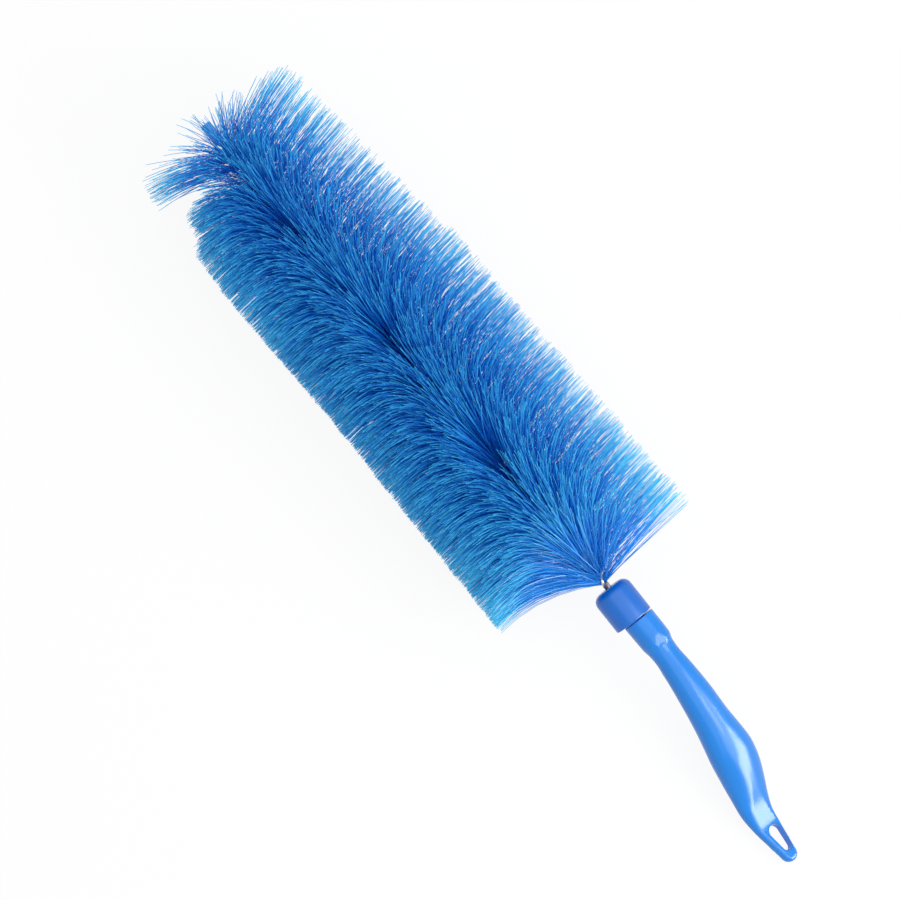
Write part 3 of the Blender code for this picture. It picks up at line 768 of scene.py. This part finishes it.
def wire_route(side):
    """One wire's centre line from the tip to its bent foot, as points from the collar's crown."""
    wire_end = CAP_WALL + CAP_ROUND + FIT_GAP - HEAD_LENGTH
    points = []
    for along in spaced(wire_end, FOOT_START, round((FOOT_START - wire_end) / WIRE_STEP)):
        bare = min(1.0, max(0.0, 1.5 - abs(along + BARE_STEM / 2) / BARE_STEM))
        orbit = WIRE_ORBIT + (BARE_ORBIT - WIRE_ORBIT) * bare * bare * (3 - 2 * bare)
        y = side * orbit * math.cos(twist(along))
        z = side * orbit * math.sin(twist(along))
        point = Vector((along, y, z))
        points.append(Matrix.Rotation(HEAD_LEAN, 3, "Z") @ point if along < 0 else point)
    for angle in spaced(0, math.pi / 2, ROUND_STEPS - 1)[1:]:
        outward = WIRE_ORBIT + FOOT_BEND_RADIUS * (1 - math.cos(angle))
        points.append(Vector((FOOT_START + FOOT_BEND_RADIUS * math.sin(angle), side * outward, 0)))
    points.append(Vector((FOOT_HEIGHT, side * FOOT_REACH, 0)))
    return points


def make_wire(name, node, side, material):
    curve = bpy.data.curves.new(name, "CURVE")
    curve.dimensions = "3D"
    curve.bevel_depth = WIRE_RADIUS
    curve.bevel_resolution = 4
    curve.use_fill_caps = True
    spline = curve.splines.new("POLY")
    route = wire_route(side)
    spline.points.add(len(route) - 1)
    for knot, point in zip(spline.points, route, strict=True):
        knot.co = (*(CROWN @ point), 1)
    mesh = applied(name, curve)
    mesh.shade_smooth()
    return add_piece(name, mesh, material, "core_wire", "head", node)


def filament_mesh(count):
    """A mesh of this many filaments, three-sided prisms that still stand on one another. Their rings
    are 1 apart, and each filament starts one span above the last, so z tells both."""
    bm = bmesh.new()
    bm.loops.layers.uv.new("strand")
    bmesh.ops.create_circle(bm, cap_ends=True, segments=3, radius=1)
    face = bm.faces[:][0]
    for _ in RING_PLACES:
        face = bmesh.ops.extrude_discrete_faces(bm, faces=[face])["faces"][0]
        bmesh.ops.translate(bm, vec=(0, 0, 1), verts=face.verts)
    bmesh.ops.holes_fill(bm, edges=[edge for edge in bm.edges if edge.is_boundary])
    mesh = mesh_from(bm, "filament", Matrix.Identity(4))
    span = len(RING_PLACES) + 1
    array = {"count": count, "use_relative_offset": False, "use_constant_offset": True}
    array["constant_offset_displace"] = (0, 0, span)
    return applied("filaments", mesh, ("ARRAY", array)), span


def around(turn, leans):
    """How far a filament leans towards the tip, by the way that it points: left, right, up, down."""
    left, right, top, under = leans
    side = left + (right - left) * (1 + np.cos(turn)) / 2
    rise = np.sin(turn)
    return side + (np.where(rise > 0, top, under) - side) * rise**2


def wave(x, turn, rng, length, times_round):
    """A smooth random field over the head, about -1 to 1, by its length and times round the stem."""
    total = np.zeros_like(x)
    for _ in range(WAVE_TERMS):
        phase, tilt, pace = rng.uniform(0, math.tau), rng.normal(0, 1), rng.normal(0, 1)
        total += np.sin(phase + math.tau * tilt * x / length + np.round(pace * times_round) * turn)
    return total / math.sqrt(WAVE_TERMS / 2) / WAVE_PEAK


def bell(value, width):
    """1 where a value is 0, and less to both sides of it."""
    return np.exp(-((value / width) ** 2))


def locks(x, turn, rng):
    """Random values in pairs that filaments of one lock share, so that they bend together."""
    row = np.floor(x / LOCK_LENGTH + 0.35 * np.sin(3 * turn + x / LOCK_LENGTH))
    column = np.floor(turn / LOCK_WIDTH + 0.5 * np.sin(row * 12.9898))
    key = (row * 131 + column * 7919).astype(np.int64) % LOCK_KINDS
    table = rng.normal(0, 1, (LOCK_KINDS, 2))
    return table[key, 0], table[key, 1]


def sown(settings, rng):
    """Where each filament starts and which way it leaves and points, its place on the head, and how
    far into the tip that is."""
    count = settings.filament_count
    share = (np.arange(count) + rng.random(count)) / count
    along = -FIRST_ROOT - (BARE_STEM + BRISTLED_LENGTH - FIRST_ROOT) * share
    gap = twist(along) + math.pi / 2 + math.pi * (np.arange(count) % 2)
    turn = gap + rng.normal(0, settings.fan_spread, count)
    near_tip = np.interp(share, (TIP_START, 1), (0, 1))
    aside = np.cos(turn)
    thinned = np.interp(share, *THINNED) + near_tip * np.where(aside < 0, *TIP_THINNED)
    at_gap = bell(along + BARE_STEM + CLUMP_GAPS[0][0], GAP_HALF_WIDTH) * (aside < 0)
    thinned = (thinned + GAP_THINNED * at_gap * (1 - thinned)) * np.sqrt(np.abs(aside))
    thinned += TIP_TOP_THINNED * near_tip * (1 - np.abs(aside)) * (aside < 0.3)
    chance = 1 - (1 - settings.right_share) * np.clip(aside * 1.6, 0, 1)
    keep = rng.random(count) < chance * (1 - thinned)
    return [values[keep] for values in (along, gap, turn, share, near_tip)]


def combed(settings, rng, along, turn, share, near_tip):
    """Which way filaments point once they are parted and gathered in locks, how far that is from the
    parting, and how far each lock leans."""
    middle = np.interp(share, *PARTING) + PARTING_WANDER * wave(along, turn * 0, rng, WANDER_LENGTH, 0)
    middle = np.radians(middle)
    from_top = (turn - middle + math.pi) % math.tau - math.pi
    comb = bell(from_top, COMBED_WIDTH) * (1 - near_tip)
    pocket = 0.15 + 1.5 * np.clip(wave(along, turn * 0, rng, POCKET_LENGTH, 0), 0, 1)
    flatten = np.where(from_top > 0, *FLATTENED)
    from_top += np.sign(from_top) * settings.parting * pocket * comb
    from_top += flatten * np.sin(2 * from_top)
    turn = middle + from_top
    lock_turn, lock_lean = locks(along, turn, rng)
    locked = (0.25 + 0.75 * np.clip(-np.cos(turn), 0, 1)) * (1 + 1.5 * near_tip)
    turn = turn + LOCK_TURN * locked * lock_turn
    scatter = TURN_SCATTER * rng.normal(0, 1, len(turn))
    turn = turn + scatter + TURN_SWAY * wave(along, turn, rng, 0.06, 2)
    return turn, from_top, LOCK_LEAN * locked * lock_lean


def trimmed(rng, along, turn, share, near_tip, rightward):
    """How far filaments reach, by their side and place, a little unevenly trimmed."""
    reach = np.interp(share, *LEFT_REACH)
    reach += (np.interp(share, *RIGHT_REACH) - reach) * rightward
    reach *= 1 - (1 - TOP_REACH_SHARE) * np.clip(np.sin(turn), 0, 1) ** 2
    uneven = 0.008 + 0.046 * rightward**2 + 0.060 * near_tip * (1 - 0.5 * rightward)
    shorter = np.abs(rng.normal(0, 1, len(turn))) * uneven
    return reach * (1 - shorter + 0.010 * wave(along, turn, rng, 0.03, 1))


def tones_with_painted_light(rng, share, from_top, near_tip, rightward):
    """Each filament's random tone with painted shade and light, from 0 for the deepest to 1: painted shade
    beside the parting and most in the hollow, painted light near the collar and the tip.
    """
    hollow = bell(share - HOLLOW_PLACE, HOLLOW_HALF_WIDTH)
    # Painted shade: filaments beside the parting are drawn darker, most in the hollow of the head, where
    # less light gets in.
    painted_shade = 1 - (0.25 + 0.52 * hollow) * bell(from_top, PAINTED_SHADE_WIDTH)
    # Painted light: filaments near the collar and the tip are drawn paler, where more light reaches them.
    painted_light = 0.42 * bell(share, 0.15) + 0.25 * near_tip
    # Painted shade and light on the left side, away from the light: darker towards the collar, paler
    # towards the tip.
    painted_light += np.interp(share, *LEFT_PAINTED_LIGHT) * (1 - rightward)
    return np.clip(rng.random(len(share)) * painted_shade + painted_light, 0, 1)


def filament_shapes(settings):
    """Where every filament starts, which way it points, and how it reaches, leans and curves."""
    rng = np.random.default_rng(SEED)
    along, gap, turn, share, near_tip = sown(settings, rng)
    turn, from_top, lock_lean = combed(settings, rng, along, turn, share, near_tip)
    count = len(along)
    rightward = (1 + np.cos(turn)) / 2
    leftward = np.clip(-np.cos(turn), 0, 1)
    reach = trimmed(rng, along, turn, share, near_tip, rightward)

    lean = around(turn, LEANS)
    lean += (around(turn, TIP_LEANS) - lean) * near_tip
    lean *= 1 + 0.06 * rng.normal(0, 1, count) + 0.05 * wave(along, turn, rng, 0.04, 2)
    lean += lock_lean + LEAN_SCATTER * rng.normal(0, 1, count)
    splay = np.abs(rng.normal(0, 1, count)) * np.interp(share, *SPLAYED) * (1 - 0.7 * rightward)
    lean += SPLAY_LEAN * splay
    reach *= 1 - 0.05 * splay
    curl = LEFT_CURL * leftward * (1 - near_tip) + SLIGHT_CURL * (rightward + leftward * near_tip)
    bend = rng.normal(0, BEND_SCATTER, count) * (0.35 + 0.65 * np.abs(np.cos(turn)))
    stray = (rng.random(count) < STRAY_SHARE) & (share > 0.02)
    lean[stray] += rng.normal(0, STRAY_LEAN, stray.sum())
    bend[stray] *= 2.0
    for place, width, opening in CLUMP_GAPS:
        beyond = along + BARE_STEM + place
        lean -= opening * np.sign(beyond) * np.exp(-np.abs(beyond) / width) * leftward
    shapes = SimpleNamespace(along=along, gap=gap, turn=turn, reach=reach)
    shapes.lean, shapes.curl, shapes.bend = lean, curl, bend
    shapes.own = tones_with_painted_light(rng, share, from_top, near_tip, rightward)
    shapes.roll = rng.uniform(0, math.tau, count)
    shapes.length = np.minimum((share * LENGTHS).astype(int), LENGTHS - 1)
    return shapes


def filament_lines(shapes):
    """The filaments' centre lines in the world, as an array of filaments, rings and xyz."""
    t = RING_PLACES[None, :]
    gap, turn = shapes.gap[:, None], shapes.turn[:, None]
    start = np.stack([np.cos(gap), np.sin(gap)], -1) * ROOT_HALF_WIDTH
    finish = np.stack([np.cos(turn), np.sin(turn)], -1) * shapes.reach[:, None, None]
    aside = np.stack([-np.sin(turn), np.cos(turn)], -1)
    cross = start + (finish - start) * t[..., None]
    cross = cross + aside * (shapes.bend[:, None] * (t**2 - t))[..., None] * 4
    curl = shapes.curl[:, None]
    x = shapes.along[:, None] - shapes.lean[:, None] * ((1 + curl) * t - curl * t**2)
    lines = np.concatenate([x[..., None], cross], -1)
    centre = np.zeros_like(lines[:, :1])
    centre[..., 0] = lines[:, :1, 0]
    lines = np.concatenate([centre, lines], 1)
    matrix = np.array(STEM)
    lines = lines @ matrix[:3, :3].T + matrix[:3, 3]
    foot = lines[:, :1, 2]
    drop = np.clip(foot - lines[..., 2], 0, None)
    past = (drop / (foot - TABLE_CLEARANCE)) ** PRESSED_SHARPNESS
    lifted = drop - drop / (1 + past) ** (1 / PRESSED_SHARPNESS)
    lines[..., 2] += lifted
    lines -= (PRESSED_LEAN * lifted)[..., None] * matrix[:3, 0]
    return lines


def unit(vectors):
    return vectors / np.linalg.norm(vectors, axis=-1, keepdims=True)


def shape_filaments(mesh, span, lines, own, roll, thickness):
    """Lay a filament mesh along its centre lines."""
    count = len(mesh.vertices)
    points = np.empty(3 * count, np.float32)
    mesh.vertices.foreach_get("co", points)
    points = points.reshape(-1, 3)
    which = np.floor((points[:, 2] + 0.5) / span).astype(int)
    ring = np.rint(points[:, 2] - span * which).astype(int)
    ahead = unit(np.diff(lines, axis=1))
    tangent = unit(np.concatenate([ahead[:, :1], ahead[:, :-1] + ahead[:, 1:], ahead[:, -1:]], 1))
    side = unit(np.cross(tangent, np.array(STEM)[:3, 0]))
    up = np.cross(tangent, side)
    turn = np.arctan2(points[:, 1], points[:, 0]) + roll[which]
    taper = np.append(np.ones(len(RING_PLACES)), END_TAPER)
    radius = (thickness / 2 * taper[ring])[:, None]
    placed = lines[which, ring] + radius * (
        np.cos(turn)[:, None] * side[which, ring] + np.sin(turn)[:, None] * up[which, ring]
    )
    mesh.vertices.foreach_set("co", placed.astype(np.float32).ravel())
    corners = np.empty(len(mesh.loops), np.int32)
    mesh.loops.foreach_get("vertex_index", corners)
    along = np.append(0.0, RING_PLACES)
    pairs = np.stack([own[which[corners]], along[ring[corners]]], 1)
    mesh.uv_layers["strand"].data.foreach_set("uv", pairs.astype(np.float32).ravel())
    mesh.update()


class FANBRUSH_OT_filaments(bpy.types.Operator):
    """Grow the filaments of the head, one piece for each length of the stem"""

    bl_idname = "fanbrush.filaments"
    bl_label = "Filaments"

    def execute(self, context):
        settings = context.scene.fanbrush_head
        material = filament_finish("filament", settings)
        shapes = filament_shapes(settings)
        lines = filament_lines(shapes)
        for number in range(LENGTHS):
            here = np.flatnonzero(shapes.length == number)
            own, roll = shapes.own[here], shapes.roll[here]
            mesh, span = filament_mesh(len(here))
            shape_filaments(mesh, span, lines[here], own, roll, settings.filament_thickness)
            name = f"filaments_{number + 1:02d}"
            mesh.name = name
            add_piece(name, mesh, material, "filament", "head", f"bristles_{number + 1:02d}")
        return {"FINISHED"}


class FANBRUSH_OT_wires(bpy.types.Operator):
    """Twist the two stem wires, with their bent feet"""

    bl_idname = "fanbrush.wires"
    bl_label = "Stem wires"

    def execute(self, context):
        material = zinc_wire("core_wire", context.scene.fanbrush_head.wire_colour)
        for name, node, side in (("stem_wire_a", "core_wire_a", 1), ("stem_wire_b", "core_wire_b", -1)):
            check_place(make_wire(name, node, side, material), node)
        return {"FINISHED"}


class FANBRUSH_OT_collar(bpy.types.Operator):
    """Turn the collar, with the thread in its socket, and finish the anchor inside it"""

    bl_idname = "fanbrush.collar"
    bl_label = "Collar and anchor"

    def execute(self, context):
        settings = context.scene.fanbrush_moulding
        rim = COLLAR_LENGTH - COLLAR_RIM_CHAMFER
        profile = [(0, STEM_HOLE_RADIUS)]
        profile += arc((COLLAR_ROUND, COLLAR_RADIUS - COLLAR_ROUND), COLLAR_ROUND, 180, 90)
        profile += arc((rim, COLLAR_RADIUS - COLLAR_RIM_CHAMFER), COLLAR_RIM_CHAMFER, 90, 0, 3)
        profile += arc((rim, SOCKET_RADIUS + COLLAR_RIM_CHAMFER), COLLAR_RIM_CHAMFER, 0, -90, 3)
        profile += [(x, SOCKET_RADIUS) for x in reversed(thread_rows(SOCKET_FLOOR, rim)[:-1])]
        profile += [(SOCKET_FLOOR, CHAMBER_RADIUS), (COLLAR_WEB, CHAMBER_RADIUS)]
        profile += [(COLLAR_WEB, STEM_HOLE_RADIUS)]
        bm = turned(profile)
        cut_thread(bm, SOCKET_FLOOR + THREAD_PITCH / 2, rim, SOCKET_RADIUS, 1)
        material = moulded_plastic("collar", settings.collar_colour, settings.roughness + 0.04)
        mesh = mesh_from(bm, "collar_shell", CROWN)
        check_place(add_piece("collar_shell", mesh, material, "collar", "head", "collar"), "collar")
        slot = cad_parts["stem_anchor"].material_slots[0]
        slot.link = "OBJECT"
        slot.material = moulded_plastic("stem_anchor", settings.anchor_colour, 0.5)
        return {"FINISHED"}


class FANBRUSH_OT_tip_cap(bpy.types.Operator):
    """Turn the cap over the wires' ends"""

    bl_idname = "fanbrush.tip_cap"
    bl_label = "Tip cap"

    def execute(self, context):
        settings = context.scene.fanbrush_moulding
        mouth = CAP_LENGTH - HEAD_LENGTH
        bore = CAP_RADIUS - CAP_WALL
        profile = [(-HEAD_LENGTH, 0)]
        profile += arc((CAP_ROUND - HEAD_LENGTH, CAP_RADIUS - CAP_ROUND), CAP_ROUND, 180, 90)
        profile += arc((mouth - CAP_WALL / 2, CAP_RADIUS - CAP_WALL / 2), CAP_WALL / 2, 90, 0, 3)
        profile += [(mouth, bore), (CAP_ROUND - HEAD_LENGTH, bore), (CAP_ROUND - HEAD_LENGTH, 0)]
        material = moulded_plastic("tip_cap", settings.cap_colour, settings.roughness + 0.06)
        mesh = mesh_from(turned(profile, FACETS // 2), "tip_cap_shell", STEM)
        check_place(add_piece("tip_cap_shell", mesh, material, "tip_cap", "head", "tip_cap"), "tip_cap")
        return {"FINISHED"}


class FANBRUSH_OT_handle(bpy.types.Operator):
    """Loft the grip with its hang loop, and turn the threaded spigot"""

    bl_idname = "fanbrush.handle"
    bl_label = "Handle"

    def execute(self, context):
        settings = context.scene.fanbrush_moulding
        material = moulded_plastic("handle", settings.handle_colour, settings.roughness)
        cutter = bpy.data.objects.new("hole_cutter", mesh_from(loft(hole_rings()), "hole_cutter", BRUSH))
        context.scene.collection.objects.link(cutter)
        mesh = applied(
            "grip",
            mesh_from(soften_ramp(loft(grip_rings())), "grip", BRUSH),
            ("BOOLEAN", {"operation": "DIFFERENCE", "solver": "EXACT", "object": cutter}),
        )
        bpy.data.objects.remove(cutter)
        mesh.set_sharp_from_angle(angle=SHARP_ANGLE)
        mesh = applied("grip", mesh, ("WEIGHTED_NORMAL", {"keep_sharp": True, "weight": 80}))
        grip = add_piece("grip", mesh, material, "handle", "grip", "handle")
        self.add_spigot(material)
        grip_end = max(corner[0] for corner in grip.bound_box)
        if abs(grip_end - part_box("handle")[1][0]) > PLACE_TOLERANCE:
            raise ValueError("the grip doesn't end where the handle's solid does")
        return {"FINISHED"}

    def add_spigot(self, material):
        """The threaded spigot, with its moulded core."""
        root = FIT_GAP + SPIGOT_ROOT
        profile = [(-SPIGOT_LENGTH, CORE_RADIUS + SPIGOT_CHAMFER / 2)]
        profile += [(-SPIGOT_LENGTH, SPIGOT_RADIUS - SPIGOT_CHAMFER)]
        thread_end = FIT_GAP - SPIGOT_ROOT
        profile += [(x, SPIGOT_RADIUS) for x in thread_rows(SPIGOT_CHAMFER - SPIGOT_LENGTH, thread_end)]
        profile += [(FIT_GAP, SPIGOT_RADIUS - SPIGOT_ROOT), (root, SPIGOT_RADIUS - SPIGOT_ROOT)]
        profile += [(root, 0), (root / 2, 0), (root / 2, CORE_RADIUS)]
        profile += [(SPIGOT_CHAMFER / 2 - SPIGOT_LENGTH, CORE_RADIUS)]
        bm = turned(profile)
        cut_thread(bm, SPIGOT_CHAMFER - SPIGOT_LENGTH, thread_end, SPIGOT_RADIUS, -1)
        add_piece("spigot", mesh_from(bm, "spigot", BRUSH), material, "handle", "grip")


class FANBRUSH_OT_stage(bpy.types.Operator):
    """Lay the floor, and set the light and the camera"""

    bl_idname = "fanbrush.stage"
    bl_label = "Stage"

    def execute(self, context):
        scene = context.scene
        settings = scene.fanbrush_stage
        scene.view_settings.view_transform = "Standard"
        bm = bmesh.new()
        bmesh.ops.create_grid(bm, x_segments=1, y_segments=1, size=FLOOR_SIZE)
        floor = bpy.data.objects.new("floor", mesh_from(bm, "floor", Matrix.Identity(4)))
        floor.data.materials.append(pale_floor("floor"))
        scene.collection.objects.link(floor)
        self.set_world(scene, settings)
        for name, (where, size, lights_surfaces) in LIGHTS.items():
            light = self.add_light(f"{name}_light", where, size, getattr(settings, f"{name}_power"))
            light.visible_diffuse = lights_surfaces
        self.add_camera(scene, settings)
        return {"FINISHED"}

    def set_world(self, scene, settings):
        """Even light for the object, and white where the camera or a shiny surface sees it."""
        room = Finish(bpy.data.worlds.new("room"))
        scene.world = room.block
        strength = room.seen() * (1 - settings.room_light) + settings.room_light
        sky = room.node("ShaderNodeBackground", None, {"Color": WHITE, "Strength": strength})
        room.node("ShaderNodeOutputWorld", None, {"Surface": sky.outputs[0]})

    def add_light(self, name, where, size, power):
        """A soft light that faces the brush and that the camera doesn't see."""
        data = bpy.data.lights.new(name, "AREA")
        data.shape = "RECTANGLE"
        data.size, data.size_y = size
        data.energy = power
        light = bpy.data.objects.new(name, data)
        light.location = where
        light.rotation_euler = (-Vector(where)).to_track_quat("-Z", "Y").to_euler()
        light.visible_camera = False
        bpy.context.scene.collection.objects.link(light)
        return light

    def add_camera(self, scene, settings):
        data = bpy.data.cameras.new("camera")
        data.lens = settings.lens
        data.clip_end = 100.0
        camera = bpy.data.objects.new("camera", data)
        distance = settings.view_width * settings.lens / data.sensor_width
        camera.location = Vector(settings.view_centre) + Vector((0, 0, distance))
        camera.rotation_euler = (0, 0, settings.view_turn)
        scene.collection.objects.link(camera)
        scene.camera = camera


OPERATORS = (
    FANBRUSH_OT_filaments,
    FANBRUSH_OT_wires,
    FANBRUSH_OT_collar,
    FANBRUSH_OT_tip_cap,
    FANBRUSH_OT_handle,
    FANBRUSH_OT_stage,
)


class FANBRUSH_PT_panel(bpy.types.Panel):
    """The brush's settings, with a button for each piece"""

    bl_idname = "FANBRUSH_PT_panel"
    bl_label = "Fan Brush"
    bl_space_type = "VIEW_3D"
    bl_region_type = "UI"
    bl_category = "Fan Brush"

    def draw(self, context):
        for name in GROUPS:
            group = getattr(context.scene, name)
            box = self.layout.box()
            for key in group.bl_rna.properties.keys():
                if key not in ("rna_type", "name"):
                    box.prop(group, key)
        for operator in OPERATORS:
            self.layout.operator(operator.bl_idname)


GROUPS = {
    "fanbrush_head": HeadSettings,
    "fanbrush_moulding": MouldingSettings,
    "fanbrush_stage": StageSettings,
}
CLASSES = (*GROUPS.values(), *OPERATORS, FANBRUSH_PT_panel)


def register():
    for item in CLASSES:
        bpy.utils.register_class(item)
    for name, group in GROUPS.items():
        setattr(bpy.types.Scene, name, PointerProperty(type=group))


def unregister():
    for name in GROUPS:
        delattr(bpy.types.Scene, name)
    for item in reversed(CLASSES):
        bpy.utils.unregister_class(item)


def main():
    register()
    bpy.ops.fanbrush.filaments()
    bpy.ops.fanbrush.wires()
    bpy.ops.fanbrush.collar()
    bpy.ops.fanbrush.tip_cap()
    bpy.ops.fanbrush.handle()
    bpy.ops.fanbrush.stage()


if __name__ == "__main__":
    main()
